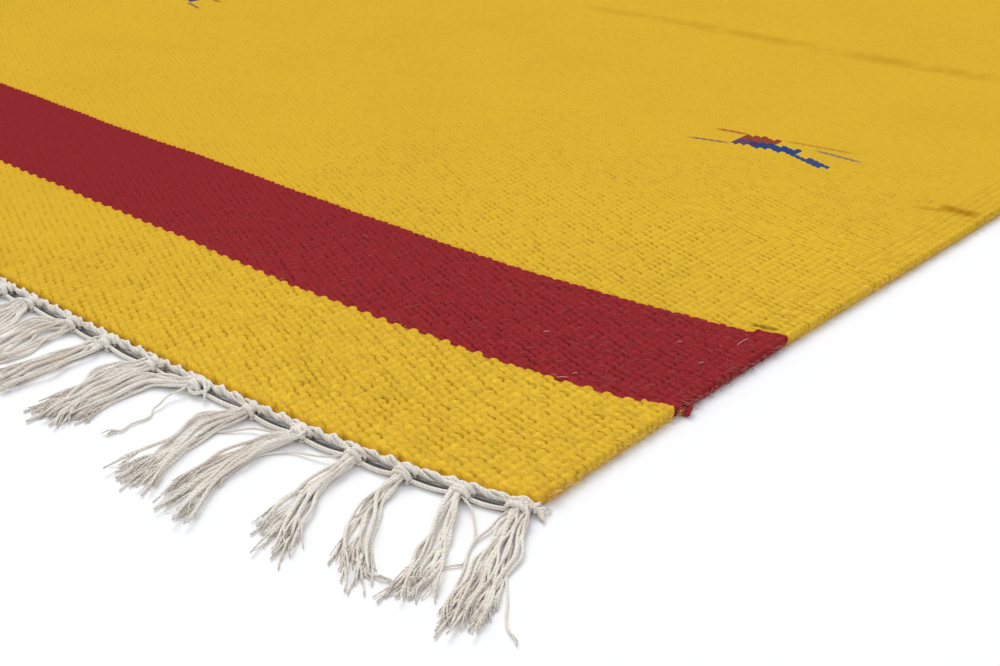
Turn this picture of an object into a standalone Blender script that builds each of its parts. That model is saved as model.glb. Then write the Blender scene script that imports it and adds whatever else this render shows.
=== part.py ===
"""A flat-woven wool rug of 60 by 90 cm that lies flat, with a twined cotton cord and a
knotted cotton fringe along each end.

Metres, +Z up. The origin is the middle of the underside. +Y runs along the warp, and the
near end is the one at -Y. Each end is drawn in its own terms, as a place along X and a
distance beyond the end of the cloth, and the far end is the near one turned half round.
"""

import math
import random

import bpy
from mathutils import Vector

MM = 0.001

# The cloth. The weft's pull draws each corner back, and the pull fades over a short width.
CLOTH_WIDTH = 0.600
CLOTH_LENGTH = 0.900
CLOTH_THICKNESS = 0.003
EDGE_ROUND = 0.0010
CORNER_DRAW = 0.0178
CORNER_REACH = 0.052

# The wool covers each warp with a rib, which runs from end to end.
WARPS = 192
RIB_PITCH = CLOTH_WIDTH / WARPS
RIB_DEPTH = 0.0004

# Each selvedge wanders in and out by this much, in this many half waves from end to end.
RIGHT_WANDER, RIGHT_HALF_WAVES = 0.0011, 5
LEFT_WANDER, LEFT_HALF_WAVES = 0.0009, 4
END_STEPS = 28
SELVEDGE_STEPS = 20

# The twined cord, with one bump for each pair of warps.
PIECE_GAP = 0.0003
CORD_RADIUS = 0.0015
CORD_BUMPS = WARPS // 2
RINGS_PER_BUMP = 2
CORD_SIDES = 4

# The linking thread and the knots on it: how far it runs beyond the cord, and its height.
TASSELS = 32
FIRST_KNOT = 0.004
LINK_OUT, LINK_DEPTH, LINK_HEIGHT = 0.0019, 0.0020, 0.0020
KNOT_OUT, KNOT_DEPTH, KNOT_HEIGHT = 0.0003, 0.0050, 0.0040
KNOT_HALF_WIDTH = 0.0034

# A section across the knots: its corners as shares of its depth and of its height.
SECTION = ((0.0, 0.0), (1.0, 0.0), (1.0, 0.55), (0.5, 1.0), (0.0, 0.6))
FRONT_LOW = 1

# Each knot's sections: a share of its half width, and how full it is there. One lock of the
# fringe grows out of the front between each two sections.
KNOT_PROFILE = ((-1.0, 0.0), (-0.5, 0.9), (0.0, 1.0), (0.5, 0.9), (1.0, 0.0))
LOCKS = len(KNOT_PROFILE) - 1

# Each lock's sections: a share of its length, its width and its height.
LOCK_PROFILE = ((0.13, 0.0013, 0.0017), (0.55, 0.0019, 0.0015), (1.0, 0.0023, 0.0011))
LOCK_TOP_WIDTH = 0.7
LOCK_JITTER = 0.00015
SHORTEST_LOCK = 0.92

# The tassels at the near right corner, in millimetres from that corner on: the way to the
# knot from the one before, how far the tips lean to the right, how far they reach, and how
# wide they spread.
CORNER_TASSELS = (
    # gap, lean, reach, spread
    (4.0, 22.0, 44.0, 12.0),
    (14.8, 20.0, 40.0, 9.0),
    (16.6, 25.0, 42.0, 9.0),
    (15.3, 17.0, 44.0, 13.0),
    (19.2, 4.0, 47.0, 9.0),
    (19.2, 6.0, 45.0, 11.0),
    (22.4, -3.0, 38.0, 9.0),
    (19.6, 3.0, 42.0, 12.0),
    (22.3, 1.0, 40.0, 12.0),
    (18.6, 3.0, 40.0, 11.0),
    (22.2, 4.0, 41.0, 11.0),
    (16.0, 3.0, 42.0, 11.0),
)

# The other tassels, in millimetres, between these limits.
GAP_JITTER = 0.8
LEAN_RANGE = (-1.0, 4.0)
REACH_RANGE = (38.0, 45.0)
SPREAD_RANGE = (9.0, 12.0)
NEAR_SEED, FAR_SEED = 11, 29

WOOL_YELLOW, WOOL_ROUGHNESS = (0.68, 0.42, 0.035), 0.95
COTTON, COTTON_ROUGHNESS = (0.74, 0.70, 0.64), 0.9


def clear_scene():
    for item in list(bpy.data.objects):
        bpy.data.objects.remove(item)


def cloth_material(name, colour, roughness):
    material = bpy.data.materials.new(name)
    material.use_nodes = True
    shader = material.node_tree.nodes["Principled BSDF"]
    shader.inputs["Base Color"].default_value = (*colour, 1.0)
    shader.inputs["Roughness"].default_value = roughness
    shader.inputs["Metallic"].default_value = 0.0
    material.diffuse_color = (*colour, 1.0)
    return material


def add_solid(name, points, faces, material):
    mesh = bpy.data.meshes.new(name)
    mesh.from_pydata(points, [], faces)
    mesh.materials.append(material)
    solid = bpy.data.objects.new(name, mesh)
    bpy.context.scene.collection.objects.link(solid)
    return solid


def turned_half_round(points):
    """The same points after half a turn about +Z."""
    return [Vector((-point.x, -point.y, point.z)) for point in points]


def end_pull(x):
    """How far the end is drawn back at x."""
    from_selvedge = max(CLOTH_WIDTH / 2 - abs(x), 0.0)
    return CORNER_DRAW * math.exp(-from_selvedge / CORNER_REACH)


def end_slope(x):
    return math.copysign(end_pull(x) / CORNER_REACH, x)


def beyond_end(x, out, height):
    """The point this far beyond the near end of the cloth, square to its edge at x."""
    slope = end_slope(x)
    length = math.hypot(1.0, slope)
    edge_y = end_pull(x) - CLOTH_LENGTH / 2
    return Vector((x + slope / length * out, edge_y - out / length, height))


def right_selvedge(share):
    """x of the right selvedge at a share of the way from its near end to its far end."""
    return CLOTH_WIDTH / 2 - RIGHT_WANDER * math.sin(math.pi * RIGHT_HALF_WAVES * share)


def left_selvedge(share):
    """x of the left selvedge at a share of the way from its near end to its far end."""
    return LEFT_WANDER * math.sin(math.pi * LEFT_HALF_WAVES * share) - CLOTH_WIDTH / 2


def cloth_outline():
    """The cloth's outline, anticlockwise from the near right corner."""
    half_width = CLOTH_WIDTH / 2
    half_selvedge = CLOTH_LENGTH / 2 - CORNER_DRAW
    right, left, near = [], [], []
    for step in range(SELVEDGE_STEPS):
        share = step / SELVEDGE_STEPS
        y = half_selvedge * (2 * share - 1)
        right.append(Vector((right_selvedge(share), y, 0)))
        left.append(Vector((left_selvedge(1 - share), -y, 0)))
    for step in range(END_STEPS):
        # The steps crowd towards the corners, where the edge bends.
        x = half_width * math.sin(math.pi * (step / END_STEPS - 0.5))
        near.append(beyond_end(x, 0.0, 0.0))
    return right + turned_half_round(near) + left + near


def inset_outline(outline, distance, height):
    moved = []
    for before, here, after in zip(outline[-1:] + outline, outline, outline[1:] + outline[:1]):
        along_in = (here - before).normalized()
        along_out = (after - here).normalized()
        inward_in = Vector((-along_in.y, along_in.x, 0))
        inward = inward_in + Vector((-along_out.y, along_out.x, 0))
        moved.append(here + inward * (distance / inward.dot(inward_in)) + Vector((0, 0, height)))
    return moved


def ring_faces(first, second, count):
    """The band of faces between two rings of points, which turn anticlockwise from above."""
    faces = []
    for i in range(count):
        j = (i + 1) % count
        faces.append((first + i, first + j, second + j, second + i))
    return faces


def zip_faces(points, first, second):
    """Triangles between two rows of points that run the same way, the second on the left."""
    faces = []
    i = j = 0
    while i < len(first) - 1 or j < len(second) - 1:
        take_first = j == len(second) - 1
        if not take_first and i < len(first) - 1:
            to_second = (points[first[i + 1]] - points[second[j]]).length
            take_first = to_second < (points[second[j + 1]] - points[first[i]]).length
        if take_first:
            faces.append((first[i], first[i + 1], second[j]))
            i += 1
        else:
            faces.append((first[i], second[j + 1], second[j]))
            j += 1
    return faces


def rib_line(selvedge, inward, steps, height):
    """Points from the near end to the far end, this far inward of a selvedge."""
    line = []
    for step in range(steps + 1):
        share = step / steps
        x = selvedge(share) + inward
        half_length = CLOTH_LENGTH / 2 - end_pull(x) - EDGE_ROUND * math.hypot(1.0, end_slope(x))
        line.append(Vector((x, half_length * (2 * share - 1), height)))
    return line


def rib_lines():
    """The crests of the ribs and the valleys between them, from right to left."""
    valley = CLOTH_THICKNESS - RIB_DEPTH
    lines = [rib_line(right_selvedge, -RIB_PITCH / 2, SELVEDGE_STEPS, CLOTH_THICKNESS)]
    for number in range(2, 2 * WARPS - 1):
        height = CLOTH_THICKNESS if number % 2 else valley
        lines.append(rib_line(right_selvedge, -RIB_PITCH / 2 * number, 1, height))
    lines.append(rib_line(left_selvedge, RIB_PITCH / 2, SELVEDGE_STEPS, CLOTH_THICKNESS))
    return lines


def make_cloth(material):
    """One flat sheet with rounded edges and a ribbed upper face."""
    outline = cloth_outline()
    count = len(outline)
    points, faces = [], []
    rings = ((EDGE_ROUND, 0.0), (0.0, EDGE_ROUND), (0.0, CLOTH_THICKNESS - EDGE_ROUND))
    for inset, height in rings:
        if points:
            faces += ring_faces(len(points) - count, len(points), count)
        points += inset_outline(outline, inset, height)
    faces.append(tuple(reversed(range(count))))

    rim = list(range(len(points) - count, len(points)))
    rim.append(rim[0])
    ribs = []
    for line in rib_lines():
        ribs.append(list(range(len(points), len(points) + len(line))))
        points += line
    for right, left in zip(ribs, ribs[1:]):
        faces += zip_faces(points, right, left)
    corners = (0, SELVEDGE_STEPS, SELVEDGE_STEPS + END_STEPS, 2 * SELVEDGE_STEPS + END_STEPS, count)
    sides = (ribs[0], [rib[-1] for rib in ribs], ribs[-1][::-1], [rib[0] for rib in ribs[::-1]])
    for start, end, side in zip(corners, corners[1:], sides):
        faces += zip_faces(points, rim[start:end + 1], side)
    return add_solid("rug_cloth", points, faces, material)


def cord_points_and_faces():
    """A four-sided bar that is twisted by a quarter turn for each bump."""
    rings = CORD_BUMPS * RINGS_PER_BUMP + 1
    points, faces = [], []
    for ring in range(rings):
        x = CLOTH_WIDTH * (0.5 - ring / (rings - 1))
        turn = ring * math.tau / CORD_SIDES / RINGS_PER_BUMP
        for side in range(CORD_SIDES):
            angle = turn + side * math.tau / CORD_SIDES
            out = PIECE_GAP + CORD_RADIUS + CORD_RADIUS * math.cos(angle)
            points.append(beyond_end(x, out, CORD_RADIUS + CORD_RADIUS * math.sin(angle)))
        if ring:
            first = (ring - 1) * CORD_SIDES
            faces += ring_faces(first, first + CORD_SIDES, CORD_SIDES)
    faces.append(tuple(reversed(range(CORD_SIDES))))
    faces.append(tuple(range(len(points) - CORD_SIDES, len(points))))
    return points, faces


def tassel_rows(seed, corner_rows):
    """The end's tassels from right to left: x of the knot, lean, reach and spread, in metres."""
    chance = random.Random(seed)
    rows = []
    from_right = 0.0
    for gap, lean, reach, spread in corner_rows:
        from_right += gap * MM
        rows.append((CLOTH_WIDTH / 2 - from_right, lean * MM, reach * MM, spread * MM))

    last_known = max(len(rows) - 1, 0)
    start = from_right if rows else FIRST_KNOT
    gap = (CLOTH_WIDTH - FIRST_KNOT - start) / (TASSELS - 1 - last_known)
    for number in range(len(rows), TASSELS):
        shift = chance.uniform(-GAP_JITTER, GAP_JITTER) * MM if 0 < number < TASSELS - 1 else 0.0
        x = CLOTH_WIDTH / 2 - start - gap * (number - last_known) + shift
        reach = chance.uniform(*REACH_RANGE) * MM
        lean = reach * end_slope(x) + chance.uniform(*LEAN_RANGE) * MM
        rows.append((x, lean, reach, chance.uniform(*SPREAD_RANGE) * MM))
    return rows


def section_points(x, fullness):
    """A section across the linking thread, or across a knot where fullness is 1."""
    cord_outside = PIECE_GAP + 2 * CORD_RADIUS
    back = cord_outside + LINK_OUT + fullness * (KNOT_OUT - LINK_OUT)
    depth = LINK_DEPTH + fullness * (KNOT_DEPTH - LINK_DEPTH)
    height = LINK_HEIGHT + fullness * (KNOT_HEIGHT - LINK_HEIGHT)
    return [beyond_end(x, back + depth * out, height * up) for out, up in SECTION]


def lock_rings(root, lean, reach, root_offset, tip_offset):
    """The sections of one lock of the fringe, each with its underside level on the floor."""
    along = Vector((lean, -reach, 0))
    across = Vector((reach, lean, 0)).normalized()
    start = Vector((root.x, root.y, 0))
    rings = []
    for share, width, height in LOCK_PROFILE:
        centre = start + along * share
        centre += across * (root_offset + (tip_offset - root_offset) * share)
        half = across * (width / 2)
        top = Vector((0, 0, height))
        rings.append((
            centre - half,
            centre + half,
            centre + half * LOCK_TOP_WIDTH + top,
            centre - half * LOCK_TOP_WIDTH + top,
        ))
    return rings


def add_lock(points, faces, root_loop, rings):
    """Grows a lock of four sides out of the face of the knot that root_loop goes round."""
    last = list(root_loop)
    for ring in rings:
        here = list(range(len(points), len(points) + len(ring)))
        points += ring
        for i in range(len(here)):
            j = (i + 1) % len(here)
            faces.append((last[i], last[j], here[j], here[i]))
        last = here
    faces.append(tuple(last))


def fringe_points_and_faces(seed, corner_rows):
    """The linking thread with its knots, and the locks that grow out of each knot."""
    chance = random.Random(seed + 1)
    corners = len(SECTION)
    points, faces, roots = [], [], []
    for tassel in reversed(tassel_rows(seed, corner_rows)):
        knot_x = tassel[0]
        for place, (share, fullness) in enumerate(KNOT_PROFILE):
            here = len(points)
            points += section_points(knot_x + share * KNOT_HALF_WIDTH, fullness)
            for i in range(corners if here else 0):
                j = (i + 1) % corners
                face = (here - corners + i, here + i, here + j, here - corners + j)
                if place and i == FRONT_LOW:
                    roots.append((tassel, place - 1, face))
                else:
                    faces.append(face)
    faces.append(tuple(range(corners)))
    faces.append(tuple(reversed(range(len(points) - corners, len(points)))))

    for (knot_x, lean, reach, spread), number, loop in roots:
        share = (number + 0.5) / LOCKS - 0.5
        root_offset = share * 2 * KNOT_HALF_WIDTH
        tip_offset = share * spread * LOCKS / (LOCKS - 1) + chance.uniform(-1, 1) * LOCK_JITTER
        length = chance.uniform(SHORTEST_LOCK, 1.0)
        knot_front = beyond_end(knot_x, PIECE_GAP + 2 * CORD_RADIUS + KNOT_OUT + KNOT_DEPTH, 0)
        rings = lock_rings(knot_front, lean * length, reach * length, root_offset, tip_offset)
        add_lock(points, faces, loop, rings)
    return points, faces


def build():
    clear_scene()
    wool = cloth_material("wool_weft", WOOL_YELLOW, WOOL_ROUGHNESS)
    cotton = cloth_material("cotton_thread", COTTON, COTTON_ROUGHNESS)
    make_cloth(wool)

    points, faces = cord_points_and_faces()
    add_solid("near_heading_cord", points, faces, cotton)
    add_solid("far_heading_cord", turned_half_round(points), faces, cotton)

    points, faces = fringe_points_and_faces(NEAR_SEED, CORNER_TASSELS)
    add_solid("near_fringe", points, faces, cotton)
    points, faces = fringe_points_and_faces(FAR_SEED, ())
    add_solid("far_fringe", turned_half_round(points), faces, cotton)


build()
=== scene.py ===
# %% [markdown]
# # A flat-woven wool rug with a knotted cotton fringe
# This lesson dresses a plain solid model of a small kilim rug. The solids give every piece
# its place and its real size. The cells below weave the wool beads, twist the cotton cord,
# tie the knots and comb out the fringe around them, and then paint each with its own finish.
# All lengths are in metres. +X runs along the weft, +Y along the warp and +Z up.

# %% Load the solids
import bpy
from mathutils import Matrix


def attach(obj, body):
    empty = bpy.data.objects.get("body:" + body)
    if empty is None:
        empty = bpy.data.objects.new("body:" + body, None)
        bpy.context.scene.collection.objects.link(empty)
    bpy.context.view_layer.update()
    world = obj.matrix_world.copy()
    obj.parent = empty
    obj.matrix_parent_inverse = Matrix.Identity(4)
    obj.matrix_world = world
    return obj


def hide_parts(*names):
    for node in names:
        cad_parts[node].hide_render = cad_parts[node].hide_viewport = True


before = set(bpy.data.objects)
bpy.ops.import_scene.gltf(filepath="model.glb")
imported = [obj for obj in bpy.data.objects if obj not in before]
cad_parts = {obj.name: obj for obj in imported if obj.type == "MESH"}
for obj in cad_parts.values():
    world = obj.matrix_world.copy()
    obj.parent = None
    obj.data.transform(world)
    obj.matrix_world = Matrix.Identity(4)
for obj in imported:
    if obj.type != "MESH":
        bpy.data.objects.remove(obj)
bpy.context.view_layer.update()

import math
import random
from functools import partialmethod

import bpy
import numpy as np
from mathutils import Vector

MM = 0.001

# %% [markdown]
# ## Camera
# The picture shows one corner from low down and close by, so the ribs run away from us. A
# camera can be aimed with a constraint or by its angles. Angles are used here, because they
# were worked out from the straight selvedge and the even stripes of the real rug.

# %% Camera
CAMERA_PLACE = (0.4858, -0.6541, 0.1932)
CAMERA_TILT, CAMERA_TURN = 63.38, 41.97
CAMERA_LENS, SENSOR_WIDTH = 50.4, 36.0


def add_to_scene(name, data):
    item = bpy.data.objects.new(name, data)
    bpy.context.scene.collection.objects.link(item)
    return item


camera = bpy.data.cameras.new("camera")
camera.lens = CAMERA_LENS
camera.sensor_width = SENSOR_WIDTH
camera.clip_start = 10 * MM
eye = add_to_scene("camera", camera)
eye.location = CAMERA_PLACE
eye.rotation_euler = (math.radians(CAMERA_TILT), 0, math.radians(CAMERA_TURN))
bpy.context.scene.camera = eye
print("camera", CAMERA_PLACE)

# %% [markdown]
# ## Studio
# The rug lies on a bright sheet of white paper under broad soft light, so its shadows are
# faint and bluish. A small lamp would cut hard shadows. A pale sky all round and one very
# wide light from the rug's far left side, low enough to rake the ribs, give the soft ones.

# %% Studio floor and light
FLOOR_SIZE, FLOOR_COLOUR = 12.0, (0.965, 0.95, 0.95)
PAPER_ROUGHNESS, PAPER_SHINE = 0.9, 0.1
SKY_COLOUR, SKY_STRENGTH = (0.91, 0.955, 1.0), 0.75
TOWARDS_LIGHT = Vector((-0.80, 0.46, 0.78))
LIGHT_WIDTH, LIGHT_STRENGTH, LIGHT_COLOUR = 34.0, 1.72, (1.0, 0.975, 0.94)


def set_inputs(node, values):
    for name, value in values.items():
        node.inputs[name].default_value = value


floor_mesh = bpy.data.meshes.new("floor")
half = FLOOR_SIZE / 2
floor_mesh.from_pydata([(-half, -half, 0), (half, -half, 0), (half, half, 0), (-half, half, 0)],
                       [], [(0, 1, 2, 3)])
floor = add_to_scene("floor", floor_mesh)
paper = bpy.data.materials.new("paper")
paper.use_nodes = True
set_inputs(paper.node_tree.nodes["Principled BSDF"],
           {"Base Color": (*FLOOR_COLOUR, 1), "Roughness": PAPER_ROUGHNESS,
            "Specular IOR Level": PAPER_SHINE})
floor_mesh.materials.append(paper)

sky = bpy.data.worlds.new("sky")
sky.use_nodes = True
set_inputs(sky.node_tree.nodes["Background"], {"Color": (*SKY_COLOUR, 1), "Strength": SKY_STRENGTH})
bpy.context.scene.world = sky
bpy.context.scene.view_settings.view_transform = "Standard"

lamp = bpy.data.lights.new("wide_light", "SUN")
lamp.angle = math.radians(LIGHT_WIDTH)
lamp.energy = LIGHT_STRENGTH
lamp.color = LIGHT_COLOUR
hung_lamp = add_to_scene("wide_light", lamp)
hung_lamp.location = TOWARDS_LIGHT
hung_lamp.rotation_euler = TOWARDS_LIGHT.to_track_quat("Z", "Y").to_euler()
print("floor", FLOOR_SIZE, "m wide, light", LIGHT_WIDTH, "degrees wide")

# %% [markdown]
# ## Shader arithmetic
# A material here is a sum, like height = ribs + beads + fibres. Wiring such sums by hand in
# the node editor is slow to read, so one small class wraps a socket and turns Python's own
# + - * / into Math nodes. Colours go through Mix nodes, because a Math node would grey them.


# %% One class for shader sums
class Wire:
    """One output of a material's node. Arithmetic on it adds Math nodes to the material."""

    def __init__(self, tree, socket=None):
        self.tree = tree
        self.socket = socket

    def node(self, kind, settings=None, inputs=None, output=0):
        """Adds a node, with its settings first, and gives one of its outputs as a wire."""
        made = self.tree.nodes.new("ShaderNode" + kind)
        for name, value in (settings or {}).items():
            setattr(made, name, value)
        for name, value in (inputs or {}).items():
            if isinstance(value, Wire):
                self.tree.links.new(value.socket, made.inputs[name])
            else:
                made.inputs[name].default_value = value
        return Wire(self.tree, made.outputs[output])

    def math(self, operation, *others):
        return self.node("Math", {"operation": operation}, dict(enumerate((self, *others))))

    def __rsub__(self, other):
        return self.node("Math", {"operation": "SUBTRACT"}, {0: other, 1: self})

    __add__ = __radd__ = partialmethod(math, "ADD")
    __mul__ = __rmul__ = partialmethod(math, "MULTIPLY")
    __sub__ = partialmethod(math, "SUBTRACT")
    __truediv__ = partialmethod(math, "DIVIDE")
    __mod__ = partialmethod(math, "FLOORED_MODULO")
    __pow__ = partialmethod(math, "POWER")
    __gt__ = partialmethod(math, "GREATER_THAN")
    __lt__ = partialmethod(math, "LESS_THAN")
    floor = partialmethod(math, "FLOOR")
    sin = partialmethod(math, "SINE")
    abs = partialmethod(math, "ABSOLUTE")
    least = partialmethod(math, "MINIMUM")
    most = partialmethod(math, "MAXIMUM")

    def blend(self, start, end):
        """0 below start, 1 above end, and smooth between them."""
        inputs = {"Value": self, "From Min": start, "From Max": end}
        return self.node("MapRange", {"interpolation_type": "SMOOTHSTEP"}, inputs)

    def parts(self):
        """The three numbers of a vector, each as a wire."""
        outputs = self.node("SeparateXYZ", None, {0: self}).socket.node.outputs
        return [Wire(self.tree, output) for output in outputs]

    def vector(self, x, y, z):
        return self.node("CombineXYZ", None, {0: x, 1: y, 2: z})

    def noise(self, place, scale, detail=2.0, roughness=0.5):
        """Soft noise from 0 to 1 at a place, with this many lumps to each unit."""
        inputs = {"Vector": place, "Scale": scale, "Detail": detail, "Roughness": roughness}
        return self.node("TexNoise", None, inputs)

    def speckle(self, place):
        """A random number from 0 to 1 for each whole-numbered place."""
        return self.node("TexWhiteNoise", {"noise_dimensions": "2D"}, {"Vector": place})

    def colour(self, factor, first, second, blend_type="MIX"):
        """Mixes two colours, and the factor says how much of the second."""
        settings = {"data_type": "RGBA", "blend_type": blend_type}
        return self.node("Mix", settings, {0: factor, 6: first, 7: second}, output=2)


def painted(red, green, blue):
    """An opaque colour as a screen gives it, from 0 to 255, turned into the light it sends."""
    def light(value):
        share = value / 255
        return share / 12.92 if share <= 0.04045 else ((share + 0.055) / 1.055) ** 2.4
    return (light(red), light(green), light(blue), 1)


def start_material(name):
    """A new material, its shader node and a bare wire to build its sums from."""
    material = bpy.data.materials.new(name)
    material.use_nodes = True
    shader = material.node_tree.nodes["Principled BSDF"]
    return material, shader, Wire(material.node_tree)


def finish_material(shader, bare, colour, height, strength, values):
    """Leads a colour and a height in millimetres to the shader."""
    bumped = bare.node("Bump", None, {"Strength": strength, "Distance": MM, "Height": height})
    bare.tree.links.new(colour.socket, shader.inputs["Base Color"])
    bare.tree.links.new(bumped.socket, shader.inputs["Normal"])
    set_inputs(shader, values)


# %% [markdown]
# ## The loom
# The cloth is weft-faced: thick wool weft covers each warp, and every rib down the rug is
# one warp under its wool. Each pass of the weft, a pick, shows as a small bead on every
# second rib. So a place on the cloth is best told in the weaver's own numbers, counted ribs
# from the right selvedge and counted beads from the near end. These functions turn such a
# count into metres. The drawn-in corners and the wandering selvedges repeat the solids.

# %% Counted ribs and beads
CLOTH_WIDTH, CLOTH_LENGTH, CLOTH_THICKNESS = 0.600, 0.900, 0.003
CORNER_DRAW, CORNER_REACH = 0.0178, 0.052
RIGHT_WANDER, RIGHT_HALF_WAVES = 0.0011, 5
LEFT_WANDER, LEFT_HALF_WAVES = 0.0009, 4
RIBS, BEADS = 192, 333
RIB_PITCH = CLOTH_WIDTH / RIBS
BEAD_LENGTH = CLOTH_LENGTH / BEADS
BEAD_SLANT, BEAD_CROWN = -0.42, 0.09
BOW_FADE = 0.30
WANDER_FADE = 0.030


def smooth(value):
    """0 at 0 and 1 at 1, with no kink at either."""
    value = np.clip(value, 0.0, 1.0)
    return value * value * (3 - 2 * value)


def end_pull(x):
    """How far the weft's pull draws the end back at x."""
    return CORNER_DRAW * np.exp(-np.maximum(CLOTH_WIDTH / 2 - np.abs(x), 0.0) / CORNER_REACH)


def end_slope(x):
    return np.copysign(end_pull(x) / CORNER_REACH, x)


def wobble(from_right, from_near):
    """How far the picks bend along the warp and the warps across it, both in metres."""
    # The heights and the lengths of these waves are in mm, and were chosen.
    across, along = from_right / MM, from_near / MM
    picks = 0.45 * np.sin(along / 9.1 + 1.3 * np.sin(across / 31))
    picks += 0.30 * np.sin(across / 17 + along / 23) + 0.18 * np.sin(across / 6.3 - along / 11.7)
    warps = 0.20 * np.sin(along / 41 + across / 13) + 0.10 * np.sin(along / 9 + across / 29)
    near_edge = smooth(along / 12) * smooth((CLOTH_LENGTH / MM - along) / 12)
    side_edge = smooth(across / 10) * smooth((CLOTH_WIDTH / MM - across) / 10)
    return picks * MM * near_edge, warps * MM * near_edge * side_edge


def cloth_place(from_right, from_near):
    """x and y of a place on the cloth, from its distance along the weft and along the warp."""
    share = np.clip(from_near / CLOTH_LENGTH, 0, 1)
    right = RIGHT_WANDER * np.sin(math.pi * RIGHT_HALF_WAVES * share)
    left = LEFT_WANDER * np.sin(math.pi * LEFT_HALF_WAVES * share)
    x = CLOTH_WIDTH / 2 - from_right
    x = x - right * np.clip(1 - from_right / WANDER_FADE, 0, 1)
    x = x + left * np.clip(1 - (CLOTH_WIDTH - from_right) / WANDER_FADE, 0, 1)
    middle = from_near - CLOTH_LENGTH / 2
    picks, warps = wobble(from_right, from_near)
    y = middle - np.sign(middle) * end_pull(x) * smooth(np.abs(middle) / BOW_FADE)
    return x + warps, y + picks


print("rib %.2f mm, bead %.2f mm" % (RIB_PITCH / MM, BEAD_LENGTH / MM))

# %% [markdown]
# ## The woven cloth
# The beads are real bumps where the camera is near, so they show at the cloth's edge and in
# low light. A displacement modifier on a dense grid would do it too, but a grid that follows
# the ribs and beads needs far fewer faces. So columns run down each rib, rows cross each
# bead, and the rest of the rug has ribs alone, with its beads left to the material. The
# section is one closed loop: round the right selvedge, over the ribs and round the left one.

# %% Rows and columns of the cloth
RIB_RELIEF, BEAD_RELIEF, BEAD_JITTER = 0.00022, 0.00070, 0.00015
LEAST_GAP, BEAD_WIGGLE, RIB_WIGGLE = 0.12, 0.24, 0.00034
GAP_POWER, SIDE_DEPTH, CREST_DEPTH, VALLEY_POWER = 1.9, 1.2, 0.55, 2.2
FINE_RIBS, CLOSE_RIBS, EDGE_RIBS = 71, 26, 5
FINE_BEADS, CLOSE_BEADS, EDGE_BEADS = 70, 30, 114
COARSE_BEADS = 7.0
ARC_STEPS = 8
ARC_RIBS = 1.54
RELIEF_FADE_RIBS, RELIEF_FADE_BEADS = 48, 50
END_ROWS = ((0.0, 0.55), (0.14, 0.84), (0.36, 1.0))  # beads in from the end, share of the height
UNDERSIDE_STEPS = 60


def bead_lean(across):
    """How far a bead leans along the rib, in beads. The mesh and the material both ask."""
    return across * BEAD_SLANT + (across * 2) ** 2 * BEAD_CROWN


def gap_depth(to_valley):
    """The gap between two beads is deeper in the valley than on the rib's crest."""
    return CREST_DEPTH + to_valley * (1 - CREST_DEPTH)


def arc_columns(side):
    """The selvedge's columns, from the underside up to the crest of the outermost rib."""
    columns = []
    for step in range(ARC_STEPS):
        turn = math.pi * (1 - step / ARC_STEPS)
        rib_place = 0.5 - ARC_RIBS * turn / math.pi
        columns.append((rib_place if side > 0 else RIBS - rib_place, side * turn))
    return columns


def rib_columns(first, last, places):
    return [(rib + place, 0.0) for rib in range(first, last) for place in places]


CLOSE_PLACES = (0.0, 0.16, 0.33, 0.5, 0.67, 0.84)
FINE_PLACES = (0.0, 0.25, 0.5, 0.75)
COARSE_PLACES = (0.0, 0.5)
fine_columns = arc_columns(1) + rib_columns(0, CLOSE_RIBS, CLOSE_PLACES)[3:]
fine_columns += rib_columns(CLOSE_RIBS, FINE_RIBS, FINE_PLACES) + [(float(FINE_RIBS), 0.0)]
coarse_columns = arc_columns(1) + rib_columns(0, RIBS, COARSE_PLACES)[1:]
coarse_columns += arc_columns(-1)[::-1]

fine_rows = [place for place, full in END_ROWS]
fine_rows += [number / 4 for number in range(3, 4 * CLOSE_BEADS)]
fine_rows += [number / 2 for number in range(2 * CLOSE_BEADS, 2 * EDGE_BEADS + 1)]
coarse_rows = [place for place, full in END_ROWS]
coarse_rows += [number * COARSE_BEADS for number in range(1, int(BEADS / COARSE_BEADS))]
coarse_rows += [BEADS - place for place, full in reversed(END_ROWS)]
print("fine", len(fine_columns), "x", len(fine_rows))
print("coarse", len(coarse_columns), "x", len(coarse_rows))


def whole_hash(first, second):
    """A repeatable number from -1 to 1 for each pair of whole numbers."""
    mixed = np.sin(first * 12.9898 + second * 78.233) * 43758.5453
    return 2 * (mixed - np.floor(mixed)) - 1


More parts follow.
